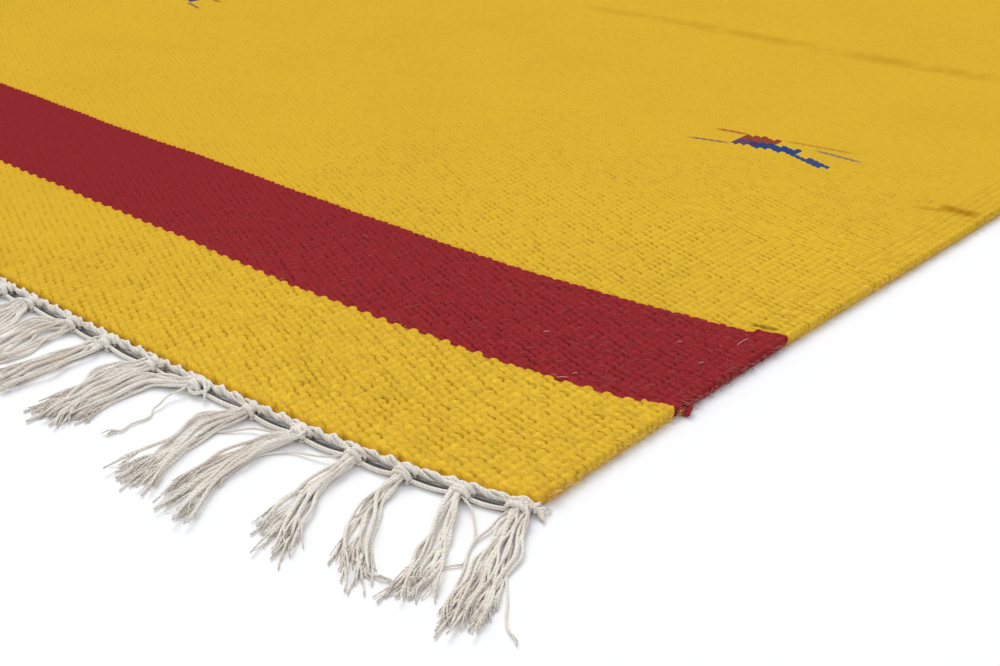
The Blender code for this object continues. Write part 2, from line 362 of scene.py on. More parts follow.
def woven_points(columns, rows):
    """Points and weave counts of every crossing of these columns and rows."""
    rib_place = np.array([column[0] for column in columns])[:, None]
    turn = np.array([column[1] for column in columns])[:, None]
    row_place = np.array(rows)[None, :]
    rib = np.clip(np.floor(rib_place + 1e-6), 0, RIBS - 1)
    across = rib_place - rib - 0.5
    slanted = (np.abs(across) < 0.499) | (np.abs(turn) > 0)
    lean = bead_lean(across) - BEAD_SLANT * across * ~slanted
    lean = lean * smooth(row_place - 0.5) * smooth(BEADS - row_place - 0.5)
    pick_place = row_place - lean + 0 * rib_place
    bead_place = pick_place + rib % 2 * 0.5 + bead_lean(across)
    bead = np.floor(bead_place + 1e-6)
    along = bead_place - bead

    relief = smooth((FINE_RIBS - rib_place) / RELIEF_FADE_RIBS)
    along_edge = smooth((EDGE_RIBS - rib_place) / 2) * smooth((EDGE_BEADS - row_place) / 8)
    relief = relief * np.maximum(smooth((FINE_BEADS - row_place) / RELIEF_FADE_BEADS), along_edge)
    # Each bead is a lens, and the gaps between beads are deeper at some than at others.
    on_side = np.abs(turn) > 0
    to_valley = np.where(on_side, 0.0, np.clip(2 * np.abs(across), 0, 1))
    to_gap = np.abs(2 * along - 1)
    gap = LEAST_GAP + (1 - LEAST_GAP) * (0.5 + 0.5 * whole_hash(rib, np.floor(bead_place + 0.5))) ** 2
    sunk = RIB_RELIEF * to_valley ** VALLEY_POWER
    depth = np.where(on_side, SIDE_DEPTH, gap_depth(to_valley))
    sunk = sunk + relief * BEAD_RELIEF * gap * to_gap ** GAP_POWER * depth
    sunk = sunk - relief * BEAD_JITTER * whole_hash(rib, bead) * (1 - to_gap ** 2)
    shift = (1 - along) * whole_hash(rib + 3, bead) + along * whole_hash(rib + 3, bead + 1)
    shift = shift * relief * smooth(row_place - 0.5) * (1 - 0.6 * to_valley)

    half_thick, half_rib = CLOTH_THICKNESS / 2, RIB_PITCH / 2
    edge_in = half_rib - (half_rib - sunk) * np.sin(np.abs(turn))
    edge_in = np.where(rib_place < RIBS / 2, edge_in, CLOTH_WIDTH - edge_in)
    from_right = np.where(on_side, edge_in, rib_place * RIB_PITCH)
    edge_height = half_thick + (half_thick - sunk * (turn != math.pi)) * np.cos(np.abs(turn))
    height = np.where(on_side, edge_height, CLOTH_THICKNESS - sunk)
    from_right = from_right + RIB_WIGGLE * shift * (1 - on_side)
    x, y = cloth_place(from_right, (pick_place + BEAD_WIGGLE * shift) * BEAD_LENGTH)
    for place, full in END_ROWS:
        from_end = np.minimum(row_place, BEADS - row_place)
        height = np.where(np.abs(from_end - place) < 1e-6, height * full, height)
    points = np.stack([x, y, np.maximum(height, 0.0)], axis=-1)
    counts = np.stack([rib_place + 0 * row_place, pick_place, relief + 0 * row_place], axis=-1)
    return points, counts


# %% [markdown]
# The fine block has steps, because the selvedge stays fine for longer than the field. A
# strip of triangles then joins the fine block to the coarse one all along their common edge.
# Bridging edge loops in Blender does the same by hand. Here a short loop walks both edges
# and always takes the shorter diagonal.


# %% Join the cloth into one closed mesh
def zip_rows(points, first, second):
    """Triangles between two rows of points that run the same way, the second on the left."""
    faces = []
    i = j = 0
    while i < len(first) - 1 or j < len(second) - 1:
        take_first = j == len(second) - 1
        if not take_first and i < len(first) - 1:
            to_second = np.linalg.norm(points[first[i + 1]] - points[second[j]])
            take_first = to_second < np.linalg.norm(points[second[j + 1]] - points[first[i]])
        if take_first:
            face = (first[i], first[i + 1], second[j])
            i += 1
        else:
            face = (first[i], second[j + 1], second[j])
            j += 1
        if len(set(face)) == 3:
            faces.append(face)
    return faces


def stepped_edge(columns, rows, steps, start):
    """A block's stepped edge, run by run, from the selvedge's underside to the near end."""
    runs = []
    first = 0
    places = [place for place, turn in columns[ARC_STEPS:]]
    step_rows = [int(np.searchsorted(rows, beads - 1e-6)) for ribs, beads in steps] + [0]
    for (ribs, beads), row, next_row in zip(steps, step_rows, step_rows[1:]):
        last = int(np.searchsorted(places, ribs - 1e-6)) + ARC_STEPS
        runs.append([start + column * len(rows) + row for column in range(first, last + 1)])
        runs.append([start + last * len(rows) + down for down in range(row, next_row - 1, -1)])
        first = last
    return runs


FINE_STEPS = ((EDGE_RIBS, EDGE_BEADS), (FINE_RIBS, FINE_BEADS))
COARSE_STEPS = ((EDGE_RIBS + 0.5, EDGE_BEADS + 5.0), (FINE_RIBS + 0.5, FINE_BEADS + COARSE_BEADS))


def block_faces(columns, rows, steps, start, inside):
    """The faces of one block, on the inner or the outer side of its stepped edge."""
    faces = []
    for column in range(len(columns) - 1):
        place = columns[column][0] if column >= ARC_STEPS else 0.0
        limit = max([beads for ribs, beads in steps if place < ribs - 1e-6], default=0)
        for row in range(len(rows) - 1):
            if (rows[row] < limit - 1e-6) == inside:
                corner = start + column * len(rows) + row
                faces.append((corner, corner + 1, corner + len(rows) + 1, corner + len(rows)))
    return faces


def underside_line(row_place):
    """Points on the floor under one end of the cloth, and their weave counts."""
    rib_place = np.linspace(0.8, RIBS - 0.8, UNDERSIDE_STEPS)
    x, y = cloth_place(rib_place * RIB_PITCH, row_place * BEAD_LENGTH + 0 * rib_place)
    zero = 0 * rib_place
    return np.stack([x, y, zero], axis=-1), np.stack([rib_place, zero + row_place, zero], axis=-1)


def weave_cloth():
    fine_points, fine_counts = woven_points(fine_columns, fine_rows)
    coarse_points, coarse_counts = woven_points(coarse_columns, coarse_rows)
    near_points, near_counts = underside_line(0)
    far_points, far_counts = underside_line(BEADS)
    points, counts = [np.concatenate([group.reshape(-1, 3) for group in groups])
                      for groups in ((fine_points, coarse_points, near_points, far_points),
                                     (fine_counts, coarse_counts, near_counts, far_counts))]

    rows, fine = len(coarse_rows), len(fine_rows)
    start = len(fine_columns) * fine
    faces = block_faces(fine_columns, fine_rows, FINE_STEPS, 0, True)
    faces += block_faces(coarse_columns, coarse_rows, COARSE_STEPS, start, False)
    fine_edge = stepped_edge(fine_columns, fine_rows, FINE_STEPS, 0)
    coarse_edge = stepped_edge(coarse_columns, coarse_rows, COARSE_STEPS, start)
    for coarse_run, fine_run in zip(coarse_edge, fine_edge):
        faces += zip_rows(points, coarse_run, fine_run)

    # The ends and the underside close the mesh.
    under = start + len(coarse_columns) * rows
    near_middle = list(range(under, under + UNDERSIDE_STEPS))
    far_middle = [number + UNDERSIDE_STEPS for number in near_middle]
    first_coarse = (coarse_edge[-1][-1] - start) // rows
    near_top = [column * fine for column in range(len(fine_columns))]
    near_top += [start + column * rows for column in range(first_coarse, len(coarse_columns))]
    far_top = [start + column * rows + rows - 1 for column in range(len(coarse_columns))]
    near_under = [near_top[0]] + near_middle + [near_top[-1]]
    far_under = [far_top[0]] + far_middle + [far_top[-1]]
    faces += zip_rows(points, near_top, near_under)
    faces += zip_rows(points, far_under, far_top)
    right = list(range(fine_edge[0][0] + 1)) + list(range(coarse_edge[0][0], start + rows))
    left = list(range(near_top[-1], near_top[-1] + rows))
    faces.append(tuple(near_under + left[1:-1] + far_under[::-1] + right[1:-1][::-1]))
    return points, faces, counts


def add_mesh(name, points, faces, counts, count_name="weave"):
    """A smooth mesh of these faces, without the points that no face uses."""
    used = sorted({corner for face in faces for corner in face})
    new_number = dict(zip(used, range(len(used))))
    mesh = bpy.data.meshes.new(name)
    mesh.from_pydata([tuple(points[number]) for number in used], [],
                     [tuple(new_number[corner] for corner in face) for face in faces])
    attribute = mesh.attributes.new(count_name, "FLOAT_VECTOR", "POINT")
    attribute.data.foreach_set("vector", counts[used].astype(np.float32).ravel())
    mesh.shade_smooth()
    piece = add_to_scene(name, mesh)
    print(name, sum(len(face) - 2 for face in faces), "triangles")
    return piece


cloth = add_mesh("rug_cloth_woven", *weave_cloth())

# %% [markdown]
# ## Wool
# The wool is dull and a little furry, and no two beads took the dye alike. Its colour comes
# from the weaver's counts that the mesh carries: which rib, which bead, and so which stripe.
# A painted image would blur the beads. The gaps between beads are told by how far a place
# is from its bead's middle, and soft noise lets them stray.

# %% Count the beads again in the material
wool, wool_shader, bare = start_material("wool")
counted = bare.node("Attribute", {"attribute_name": "weave"}, output="Vector")
rib_place, pick_place, relief = counted.parts()
rib = rib_place.floor().most(0).least(RIBS - 1)
across = rib_place - rib - 0.5
odd = rib % 2
bead_place = pick_place + odd * 0.5 + bead_lean(across)
bead = bead_place.floor()
pick = bead + 0.5 - odd * 0.5
chance = bare.speckle(bare.vector(rib, bead, 0))
gap_chance = bare.speckle(bare.vector(rib, (bead_place + 0.5).floor() + 0.5, 0))
in_ribs = bare.vector(rib_place, pick_place, 0)
stray = (bare.noise(in_ribs, 1.1, 1.0) - 0.5) * 0.5
to_valley = ((across + stray * 0.4) * 2).abs().least(1)
strayed = bead_place + stray
to_gap = ((strayed - strayed.floor()) * 2 - 1).abs()
gap = LEAST_GAP + gap_chance ** 2 * (1 - LEAST_GAP)
in_gap = to_gap.blend(0.42, 1.0) * gap * gap_depth(to_valley)

# %% [markdown]
# ## Stripes and marks
# A stripe is woven in whole beads, so its edge is scalloped, and is chosen partly by the
# bead's number and partly by the place. At the selvedge the wefts change over, and there the
# edge runs smooth and rounds off. The wool is drawn calmer far from the near right corner,
# where the picture shows no single beads.

# %% Stripes
RED_START, RED_END = 58.7, 116.1
SELVEDGE_RED_START, SELVEDGE_RED_END = 59.8, 118.4
SMOOTH_EDGE_RIBS, EDGE_ROUNDING = 3.4, 3.2
WOOL_YELLOW, WOOL_GAP_SHADE = painted(236, 190, 58), painted(160, 116, 14)
WOOL_RED, WOOL_RED_GAP_SHADE = painted(156, 47, 51), painted(86, 16, 22)
WOOL_PINK, WOOL_ORANGE = painted(188, 84, 86), painted(226, 138, 30)
CALM_START, CALM_END, MOST_CALM = 60, 340, 0.75
BEAD_STEP, GAP_SHADE, CALM_SHADE = 0.45, 0.95, 0.3
RIM_TINT, CORD_TINT, CORD_PAINTED_LIGHT = 0.22, 0.10, 0.10

from_selvedge, from_end = rib_place * (RIB_PITCH / MM), pick_place * (BEAD_LENGTH / MM)
from_corner = (from_selvedge ** 2 + from_end ** 2) ** 0.5
calm = 1 - from_corner.blend(CALM_START, CALM_END) * MOST_CALM
from_either_end = from_end.least(CLOTH_LENGTH / MM - from_end)
from_either_side = rib_place.least(RIBS - rib_place)
bead_from_end = pick.least(BEADS - pick) * (BEAD_LENGTH / MM)
rounded = from_either_end + (0.7 - from_either_side).most(0) * EDGE_ROUNDING
smooth_red = (rounded > SELVEDGE_RED_START) * (rounded < SELVEDGE_RED_END)
stepped = bead_from_end * BEAD_STEP + from_either_end * (1 - BEAD_STEP)
beaded_red = (stepped > RED_START) * (stepped < RED_END)
at_selvedge = from_either_side < SMOOTH_EDGE_RIBS
red = smooth_red * at_selvedge + beaded_red * (1 - at_selvedge)

# Painted shade: the gaps between beads are darkened towards the gap colours, and far from the corner an
# even painted shade stands in for their average.
shade = in_gap.least(1) * GAP_SHADE * calm + (1 - calm) * CALM_SHADE
yellow = bare.colour(shade, WOOL_YELLOW, WOOL_GAP_SHADE)
rim = (rounded - (RED_START + RED_END) / 2).abs() - (RED_END - RED_START) / 2
beside_cord = 1 - rounded.blend(0.5, 4.0)
tint = ((1 - rim.abs().blend(0.5, 3.0)) * RIM_TINT).most(beside_cord * CORD_TINT)
yellow = bare.colour(tint, yellow, WOOL_ORANGE)

# %% [markdown]
# ## Marks
# Small marks, such as a faint line of painted shade where the weaver began anew, are soft
# strokes between two places. A hand-painted mask would need an image, and a stroke is only
# a distance to a line.

# %% Strokes between two places
def stroke(w, p, start, end, half_width, soft=0.0):
    """1 on a straight stroke, with places in mm from the right selvedge and the near end."""
    (first_w, first_p), (last_w, last_p) = start, end
    share = (w - first_w) / (last_w - first_w)
    off = (p - (share * (last_p - first_p) + first_p)).abs()
    if soft:
        ends = share.blend(0.0, 0.25) * (1 - share.blend(0.75, 1.0))
        return ends * (1 - off.blend(half_width - soft, half_width + soft))
    return (share > 0) * (share < 1) * (off < half_width)


MARKS = (
    # colour, strength, half width, softness, then both ends as places from the selvedge and
    # from the near end, in mm
    # The first three strokes are painted shade along the step where the weaver began anew.
    ((190, 142, 34), 0.34, 5.5, 5.0, (316, 417), (226, 427)),
    ((186, 136, 28), 0.42, 6.5, 5.5, (250, 424), (150, 430)),
    ((186, 134, 28), 0.42, 6.5, 5.5, (160, 427), (60, 438)),
    ((172, 116, 10), 0.75, 3.4, 2.8, (19, 257), (2.0, 253)),
    ((176, 128, 14), 0.45, 1.8, 1.6, (27, 250), (12, 252)),
    ((132, 98, 16), 0.80, 0.9, 0.7, (15, 120.6), (4.5, 120.6)),
    ((214, 126, 40), 0.32, 3.6, 2.6, (6, 5), (-4, 4)),
)
patchy = bare.noise(bare.vector(rib_place * 0.16, pick_place * 0.10, 2.0), 1.0, 2.0).blend(0.36, 0.58)
for mark_colour, strength, half_width, softness, start, end in MARKS:
    mark = stroke(from_selvedge, from_end, start, end, half_width, softness)
    yellow = bare.colour(mark * strength * (0.25 + patchy * 0.75), yellow, painted(*mark_colour))
print(len(MARKS), "marks")

# %% [markdown]
# ## The small motifs
# A little winged figure of indigo and rust is woven in once near each corner. It is charted
# as a few strokes. A broad stroke takes the whole beads whose middles lie on it, as a
# weaver's own count does. The thin ones are single wefts that lie over the beads. Folding
# the counts about the rug's middle weaves all four.

# %% Weave in the motifs
INDIGO, VIOLET, RUST, FADED_RUST = (30, 66, 122), (84, 56, 98), (140, 52, 50), (166, 104, 48)
MOTIF = (
    # colour, strength, half width, softness (0 for whole beads), then both ends as places
    # from the selvedge and the near end, in mm
    (INDIGO, 0.97, 3.6, 0, (108, 278), (86, 281)),
    (VIOLET, 0.94, 3.4, 0, (117, 277), (105, 279)),
    (INDIGO, 0.94, 2.3, 0, (86, 275.5), (69, 271)),
    (RUST, 0.93, 3.0, 0, (117, 283.5), (99, 286.5)),
    (VIOLET, 0.72, 1.0, 0.7, (134, 267), (114, 272.5)),
    (RUST, 0.72, 1.1, 0.8, (131, 284.5), (114, 287)),
    (FADED_RUST, 0.62, 0.9, 0.8, (102, 289), (67, 294)),
    (INDIGO, 0.66, 1.0, 0.8, (86, 287), (60, 285)),
)
middle_w = CLOTH_WIDTH / 2 / MM
bead_w = middle_w - ((rib + 0.5) * (RIB_PITCH / MM) - middle_w).abs()
weft_w = middle_w - (from_selvedge - middle_w).abs()
for motif_colour, strength, half_width, softness, start, end in MOTIF:
    if softness:
        chart = stroke(weft_w, from_either_end, start, end, half_width, softness)
    else:
        chart = stroke(bead_w, bead_from_end, start, end, half_width)
    yellow = bare.colour(chart * strength, yellow, painted(*motif_colour))
print(len(MOTIF), "strokes in the motif")

# %% [markdown]
# ## Wool fibres
# Hand-carded wool is cloudy, its fibres lie along the weft, and the red one has pink flecks.
# Three noises of different size give this, one each for clouds, fibres and flecks. They read
# the counts and not the place, so they stretch along each bead as real fibres do.

# %% Wool colour and bumps
FUZZ_MARK, PALE_MARK = 1.5, 2.5
HAIR_PALE, HAIR_PALENESS = painted(246, 238, 212), 0.20
STRAY_PALE, STRAY_PALENESS = painted(250, 214, 206), 0.45
CLOUD_LIGHT, BEAD_LIGHT, FIBRE_LIGHT, FLECK_LIGHT, HAIR_PAINTED_SHEEN = 0.12, 0.08, 0.26, 0.18, 0.10
FIBRE_HEIGHT, FLECK_HEIGHT, TWIST_HEIGHT = 0.13, 0.20, 0.03  # in mm
WOOL_ROUGHNESS, WOOL_SHINE = 0.95, 0.0
place = bare.node("TexCoord", output="Object")
cloudy = bare.noise(place, 14.0, 3.0)
fibres = bare.noise(bare.vector(rib_place * 1.3, bead_place * 6.0, chance * 9), 1.0, 3.0, 0.7)
flecks = bare.noise(bare.vector(rib_place * 3.0, strayed * 9.0, 4.0), 1.0, 2.0, 0.7)
# The red wool gets the same painted shade in its gaps.
crimson = bare.colour(shade, WOOL_RED, WOOL_RED_GAP_SHADE)
crimson = bare.colour(flecks.blend(0.50, 0.80) * 0.30, crimson, WOOL_PINK)
dyed = bare.colour(red, yellow, crimson)
uneven = (chance - 0.5) * BEAD_LIGHT + (fibres.blend(0.32, 0.68) - 0.5) * FIBRE_LIGHT
uneven = uneven + flecks.blend(0.5, 0.75) * FLECK_LIGHT
light = 0.96 + (cloudy - 0.5) * CLOUD_LIGHT + uneven * calm
# Hairs are mixed to a paler fibre colour, and brightened by a painted sheen.
hair = relief > FUZZ_MARK
# Painted light brightens the wool beside the cord.
light = light + hair * HAIR_PAINTED_SHEEN + beside_cord * CORD_PAINTED_LIGHT
lit = bare.colour(1.0, dyed, bare.vector(light, light, light), "MULTIPLY")
lit = bare.colour(hair * HAIR_PALENESS, lit, HAIR_PALE)
lit = bare.colour((relief > PALE_MARK) * STRAY_PALENESS, lit, STRAY_PALE)

strands = (bare.noise(in_ribs, 0.45, 1.0) - 0.5) * 6 + across * 6 + bead_place * math.tau
twist = strands.sin() * (1 - to_gap)
sunk = to_gap ** GAP_POWER * gap * gap_depth(to_valley) * (BEAD_RELIEF / MM)
height = (fibres.blend(0.3, 0.7) * FIBRE_HEIGHT + flecks * FLECK_HEIGHT) * calm
height = height + twist * TWIST_HEIGHT - sunk * (1 - relief).most(0.1) * calm
finish_material(wool_shader, bare, lit, height, 1.0,
                {"Roughness": WOOL_ROUGHNESS, "Specular IOR Level": WOOL_SHINE})
cloth.data.materials.append(wool)
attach(cloth, "root")
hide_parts("rug_cloth")
print(len(wool.node_tree.nodes), "nodes in the wool")

# %% [markdown]
# ## Cotton thread
# Everything beyond the cloth's ends is one kind of undyed cotton, spun and twisted with its
# seed specks left in. Each thread is a tube swept along a smooth route. A curve object with
# a bevel does that too, but a mesh can hold hundreds of threads in one piece.

# %% Sweep tubes along routes
def smooth_route(stops, steps, reach=1.0):
    """Evenly numbered points on a smooth curve through the stops, or through a share of them."""
    stops = np.array(stops, dtype=float)
    padded = np.concatenate([2 * stops[:1] - stops[1:2], stops, 2 * stops[-1:] - stops[-2:-1]])
    places = np.linspace(0, (len(stops) - 1) * reach, steps)
    leg = np.minimum(places.astype(int), len(stops) - 2)
    t = (places - leg)[:, None]
    a, b, c, d = (padded[leg + number] for number in range(4))
    squared, cubed = 2 * a - 5 * b + 4 * c - d, 3 * b - a - 3 * c + d
    return 0.5 * (2 * b + (c - a) * t + squared * t ** 2 + cubed * t ** 3)


def tube(route, radius, sides, turns=0.0):
    """Points, faces and thread counts of a closed tube. The radius may change along it."""
    route = np.asarray(route, dtype=float)
    along = np.gradient(route, axis=0)
    along /= np.linalg.norm(along, axis=1)[:, None] + 1e-12
    up = np.array([0.0, 0.0, 1.0])
    across = np.cross(along, up)
    flat = np.linalg.norm(across, axis=1)[:, None] < 1e-3
    across = np.where(flat, np.array([1.0, 0.0, 0.0]), across)
    across /= np.linalg.norm(across, axis=1)[:, None]
    over = np.cross(across, along)
    length = np.concatenate([[0], np.cumsum(np.linalg.norm(np.diff(route, axis=0), axis=1))])
    radius = np.broadcast_to(radius, len(route))
    angle = np.arange(sides) / sides * math.tau + turns
    ring = across[:, None] * np.cos(angle)[None, :, None] + over[:, None] * np.sin(angle)[None, :, None]
    points = (route[:, None] + ring * radius[:, None, None]).reshape(-1, 3)
    points[:, 2] = np.maximum(points[:, 2], 0.0)
    counts = np.stack([np.repeat(length / MM, sides), np.tile(np.cos(angle), len(route)),
                       np.tile(np.sin(angle), len(route))], axis=-1)
    faces = []
    for step in range(len(route) - 1):
        for side in range(sides):
            a, b = step * sides + side, step * sides + (side + 1) % sides
            faces.append((b, a, a + sides, b + sides))
    faces += [tuple(range(sides)), tuple(range(len(points) - 1, len(points) - sides - 1, -1))]
    return points, faces, counts


def add_tubes(name, tubes, material, slot, count_name):
    """One mesh of many tubes, with the counts that its material reads."""
    points, faces, counts = [], [], []
    start = 0
    for tube_points, tube_faces, tube_counts in tubes:
        faces += [tuple(corner + start for corner in face) for face in tube_faces]
        points.append(tube_points)
        counts.append(tube_counts)
        start += len(tube_points)
    piece = add_mesh(name, np.concatenate(points), faces, np.concatenate(counts), count_name)
    piece.data.materials.append(material)
    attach(piece, "root")
    return piece


# %% [markdown]
# ## Fuzz
# Hand-spun wool sheds short hairs that arch over the beads and stand out from the selvedge.
# Bump cannot show them at the edge, so a few thousand are swept as three-sided tubes. Each
# carries the count of the bead that it grew from, so it takes that bead's dye, a little
# paler. Two loops of red weft stick out where the stripe begins.

# %% Grow the fuzz
FIELD_HAIRS, SELVEDGE_HAIRS, FUZZ_SEED = 2600, 1300, 7
HAIR_RADIUS, EDGE_HAIR_RADIUS, HAIR_STEPS = 0.038 * MM, 0.055 * MM, 6
FUZZ_COUNT, PALE_COUNT, LOOP_COUNT = 2.0, 3.0, 1.0
PALE_RADIUS, LOOP_RADIUS = 0.12 * MM, 0.62 * MM


def wool_tube(from_right, from_near, heights, radius, sides, mark):
    """A tube over the cloth that carries the weave count of the bead where it starts."""
    x, y = cloth_place(np.array(from_right), np.array(from_near))
    points, faces, _ = tube(np.stack([x, y, heights], axis=-1), radius, sides)
    rib = min(max(math.floor(from_right[0] / RIB_PITCH), 0), RIBS - 1)
    bead = math.floor(from_near[0] / BEAD_LENGTH + (rib % 2) * 0.5)
    count = (rib + 0.5, bead + 0.5 - (rib % 2) * 0.5, mark)
    return points, faces, np.tile(count, (len(points), 1))


def hair_tubes(chance):
    hairs = []
    share = np.linspace(0, 1, HAIR_STEPS)
    for number in range(FIELD_HAIRS + SELVEDGE_HAIRS):
        at_edge = number >= FIELD_HAIRS
        across = chance.uniform(-0.1, 1.2) * MM if at_edge else (2.0 + 215 * chance.random() ** 1.4) * MM
        along = (2.0 + (340 if at_edge else 260) * chance.random() ** 1.3) * MM
        turn = chance.uniform(-1.3, 1.3) + (math.pi if at_edge or chance.random() < 0.5 else 0.0)
        bend = chance.uniform(-1.4, 1.4)
        length = chance.uniform(1.0, 2.8) * MM if at_edge else chance.uniform(1.5, 4.5) * MM
        from_right = across + np.cumsum(np.cos(turn + bend * share)) * length / HAIR_STEPS
        from_near = along + np.cumsum(np.sin(turn + bend * share)) * length / HAIR_STEPS
        if at_edge:
            heights = chance.uniform(0.5, 2.8) * MM + share * chance.uniform(-0.5, 0.7) * MM
        else:
            arch = chance.uniform(0.1, 0.7) * MM
            heights = CLOTH_THICKNESS - 0.25 * MM + (arch + 0.2 * MM) * np.sin(math.pi * share)
        radius = (EDGE_HAIR_RADIUS if at_edge else HAIR_RADIUS) * chance.uniform(0.7, 1.3)
        hairs.append(wool_tube(from_right, np.maximum(from_near, MM),
                               np.maximum(heights, 2 * HAIR_RADIUS), radius, 3, FUZZ_COUNT))
    return hairs


WEFT_LOOPS = (
    # places from the selvedge, from the near end, and height, in mm
    ((1.5, 61.4, 1.6), (-0.6, 61.2, 1.7), (-1.8, 60.8, 1.3),
     (-1.9, 60.1, 0.9), (-0.8, 60.2, 0.8), (1.0, 60.8, 0.9)),
    ((1.0, 63.4, 2.0), (-0.8, 63.0, 2.0), (-1.4, 61.9, 1.4), (-0.4, 61.4, 1.0), (1.2, 61.8, 1.0)),
)
PALE_FIBRES = (
    # both ends as places from the selvedge and from the near end, in mm
    ((9.2, 105.3), (9.2, 110.6)),
    ((36.8, 58.9), (34.4, 60.6)),
    ((34.9, 63.2), (34.1, 64.4)),
    ((10.9, 88.0), (10.3, 89.6)),
    ((58.4, 81.4), (57.4, 83.0)),
    ((24.0, 98.0), (23.0, 99.0)),
)


def loop_tubes():
    """The loose loops of weft, and a few pale fibres that were spun in by chance."""
    loops = []
    share = np.linspace(0, 1, 7)[:, None]
    heights = CLOTH_THICKNESS + (0.05 + 0.22 * np.sin(math.pi * share[:, 0])) * MM
    for first, last in PALE_FIBRES:
        route = (np.array(first) + (np.array(last) - first) * share) * MM
        loops.append(wool_tube(route[:, 0], route[:, 1], heights, PALE_RADIUS, 6, PALE_COUNT))
    for places in WEFT_LOOPS:
        route = smooth_route(np.array(places) * MM, 30)
        loops.append(wool_tube(*route.T, LOOP_RADIUS, 10, LOOP_COUNT))
    return loops


wool_look = (wool, "wool_weft", "weave")
wool_fuzz = add_tubes("wool_fuzz", hair_tubes(random.Random(FUZZ_SEED)), *wool_look)
weft_loops = add_tubes("selvedge_weft_loops", loop_tubes(), *wool_look)

# %% [markdown]
# ## Cotton finish
# The cotton is off-white, with brown seed specks and a dull surface. The twist of its plies
# runs round each thread, so the material needs the length along the thread and the side,
# which every tube carries. Real plies would cost ten times the faces.

# %% Cotton finish
COTTON, COTTON_SHADE = painted(247, 239, 227), painted(232, 214, 199)
COTTON_SPECK, PLY_SHADE, SLIT_SHADE = painted(146, 120, 98), painted(176, 164, 152), painted(54, 48, 44)
SLIT_SHADE_MARK = 1000.0
COTTON_ROUGHNESS, COTTON_SHINE, COTTON_SHEEN = 0.9, 0.2, 0.3
TWIST_RISE, FLUFF_RISE = 0.15, 0.22  # in mm
cotton, cotton_shader, bare = start_material("cotton")
thread = bare.node("Attribute", {"attribute_name": "thread"}, output="Vector")
length, side_a, side_b = thread.parts()
place = bare.node("TexCoord", output="Object")
turned = length * 2.1 + (bare.noise(place, 220.0, 1.0) - 0.5) * 9
twist = (side_a * turned.sin() + side_b * (turned + math.pi / 2).sin()).abs()
fluff = bare.noise(place, 2500.0, 3.0, 0.6)
specks = bare.noise(place, 1300.0, 1.0).blend(0.72, 0.76)
dull = bare.colour(bare.noise(place, 60.0, 2.0).blend(0.40, 0.70) * 0.6, COTTON, COTTON_SHADE)
# Painted shade: the valleys between the plies of the twist are darkened.
dull = bare.colour((1 - twist.blend(0.0, 0.6)) * 0.30, dull, PLY_SHADE)
dull = bare.colour(specks * 0.6, dull, COTTON_SPECK)
# Painted shade: tubes marked for the slit between cord and link are coloured nearly black.
dull = bare.colour((length > SLIT_SHADE_MARK) * 0.95, dull, SLIT_SHADE)
finish_material(cotton_shader, bare, dull, twist * TWIST_RISE + fluff * FLUFF_RISE, 0.8,
                {"Roughness": COTTON_ROUGHNESS, "Specular IOR Level": COTTON_SHINE,
                 "Sheen Weight": COTTON_SHEEN})


def add_cotton(name, tubes, stands_for):
    piece = add_tubes(name, tubes, cotton, "cotton_thread", "thread")
    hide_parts(stands_for)
    return piece


# %% [markdown]
# ## The heading cord
# At each end two strands of cotton twine round each other over the warps and lock the weft.
# The two strands are swept round a common route, half a turn apart, and rise to one bump
# for each pair of warps. The route follows the drawn-in end of the solids.

# %% Twine the heading cords
PIECE_GAP, CORD_RADIUS = 0.0003, 0.0015
CORD_TURNS = RIBS // 4
PLY_RADIUS, PLY_OFFSET, STRAND_OFFSET = 0.00053, 0.00038, 0.00072
CORD_STEPS_PER_TURN, CORD_SIDES = 16, 6
STRAND_TWIST = 1.3


def beyond_end(x, out, height):
    """Points this far beyond the near end of the cloth, square to its edge at x."""
    slope = end_slope(x)
    length = np.hypot(1.0, slope)
    return np.stack([x + slope / length * out, end_pull(x) - CLOTH_LENGTH / 2 - out / length,
                     height + 0 * x], axis=-1)


def half_round(tubes):
    """The same tubes at the other end of the rug."""
    return [(points * np.array([-1.0, -1.0, 1.0]), faces, counts) for points, faces, counts in tubes]


def cord_tubes():
    steps = CORD_TURNS * CORD_STEPS_PER_TURN + 1
    x = np.linspace(CLOTH_WIDTH / 2, -CLOTH_WIDTH / 2, steps)
    turn = np.linspace(0, math.tau * CORD_TURNS, steps)
    tubes = []
    for half_turn in (0.0, math.pi):
        swing = 1 + 0.22 * np.sin(turn * 0.37 + half_turn) + 0.12 * np.sin(turn * 1.7)
        for ply_turn in (0.0, math.pi):
            own = turn * STRAND_TWIST + ply_turn
            out = STRAND_OFFSET * swing * np.cos(turn + half_turn) + PLY_OFFSET * np.cos(own)
            up = STRAND_OFFSET * swing * np.sin(turn + half_turn) + PLY_OFFSET * np.sin(own)
            height = STRAND_OFFSET + PLY_OFFSET + PLY_RADIUS + up
            uneven = 1 + 0.10 * np.sin(turn * 0.61 + own * 0.3)
            route = beyond_end(x, PIECE_GAP + CORD_RADIUS + out, np.maximum(height, PLY_RADIUS))
            tubes.append(tube(route, PLY_RADIUS * uneven, CORD_SIDES))
    return tubes


near_cord = add_cotton("near_heading_cord_twined", cord_tubes(), "near_heading_cord")
far_cord = add_cotton("far_heading_cord_twined", half_round(cord_tubes()), "far_heading_cord")

# %% [markdown]
# ## The row of tassels
# The tassels near the corner hang as the picture shows them, so a short table gives each
# its gap, its threads and its two edges. One rule lays out the rest: an even gap, a lean
# that follows the drawn-in end, and a spread drawn by chance from a fixed seed.

